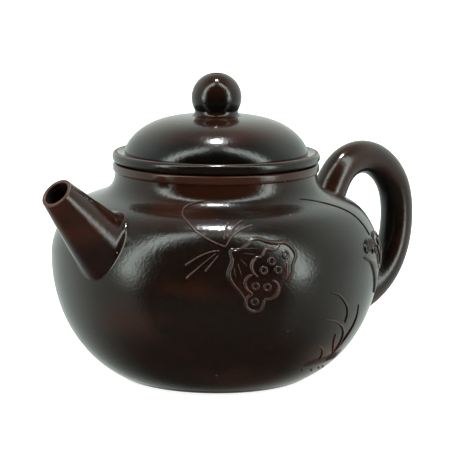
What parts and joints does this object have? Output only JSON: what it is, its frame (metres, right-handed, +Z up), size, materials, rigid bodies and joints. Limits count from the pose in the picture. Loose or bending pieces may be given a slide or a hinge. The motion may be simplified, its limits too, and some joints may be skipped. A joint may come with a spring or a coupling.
{
  "type": "clay teapot",
  "caption": "Round dark clay teapot with a straight spout, bow handle, domed lid with a ball knob, and a low relief of a moth and reeds on one side.",
  "frame": {"origin": "centre of the ring the pot stands on", "axes": "+Z up along the pot's axis, +X towards the handle, -X towards the spout, -Y the side with the relief"},
  "size_m": [0.1549, 0.1003, 0.0931],
  "materials": {
    "clay_body": "unglazed dark purple-brown clay, burnished to a satin shine",
    "clay_lid": "unglazed dark purple-brown clay, burnished to a satin shine",
    "clay_relief": "applied clay relief, ridges worn to a redder brown"
  },
  "bodies": {
    "pot": {"base_disc": "clay_body", "body_wall": "clay_body", "upper_wall": "clay_body", "shoulder_disc": "clay_body", "neck_ring": "clay_body", "mouth_lip": "clay_body", "spout": "clay_body", "spout_strainer": "clay_body", "handle": "clay_body", "moth_wing_plate": "clay_relief", "moth_scallop_cord": "clay_relief", "moth_rings": "clay_relief", "moth_veins": "clay_relief", "moth_long_feeler": "clay_relief", "moth_short_feelers": "clay_relief", "moth_tail_threads": "clay_relief", "side_moth_thread": "clay_relief", "side_moth_crest": "clay_relief", "side_moth_body": "clay_relief", "side_moth_wing": "clay_relief", "reed_blades": "clay_relief", "grass_tufts": "clay_relief", "seed_dots": "clay_relief"},
    "lid": {"lid_rim": "clay_lid", "lid_flange": "clay_lid", "lid_dome": "clay_lid", "knob_collar": "clay_lid", "knob": "clay_lid"}
  },
  "joints": [
    {"name": "lid_lift", "type": "slide", "parent": "pot", "child": "lid", "axis": [0, 0, 1], "range_m": [0, 0.045]}
  ]
}
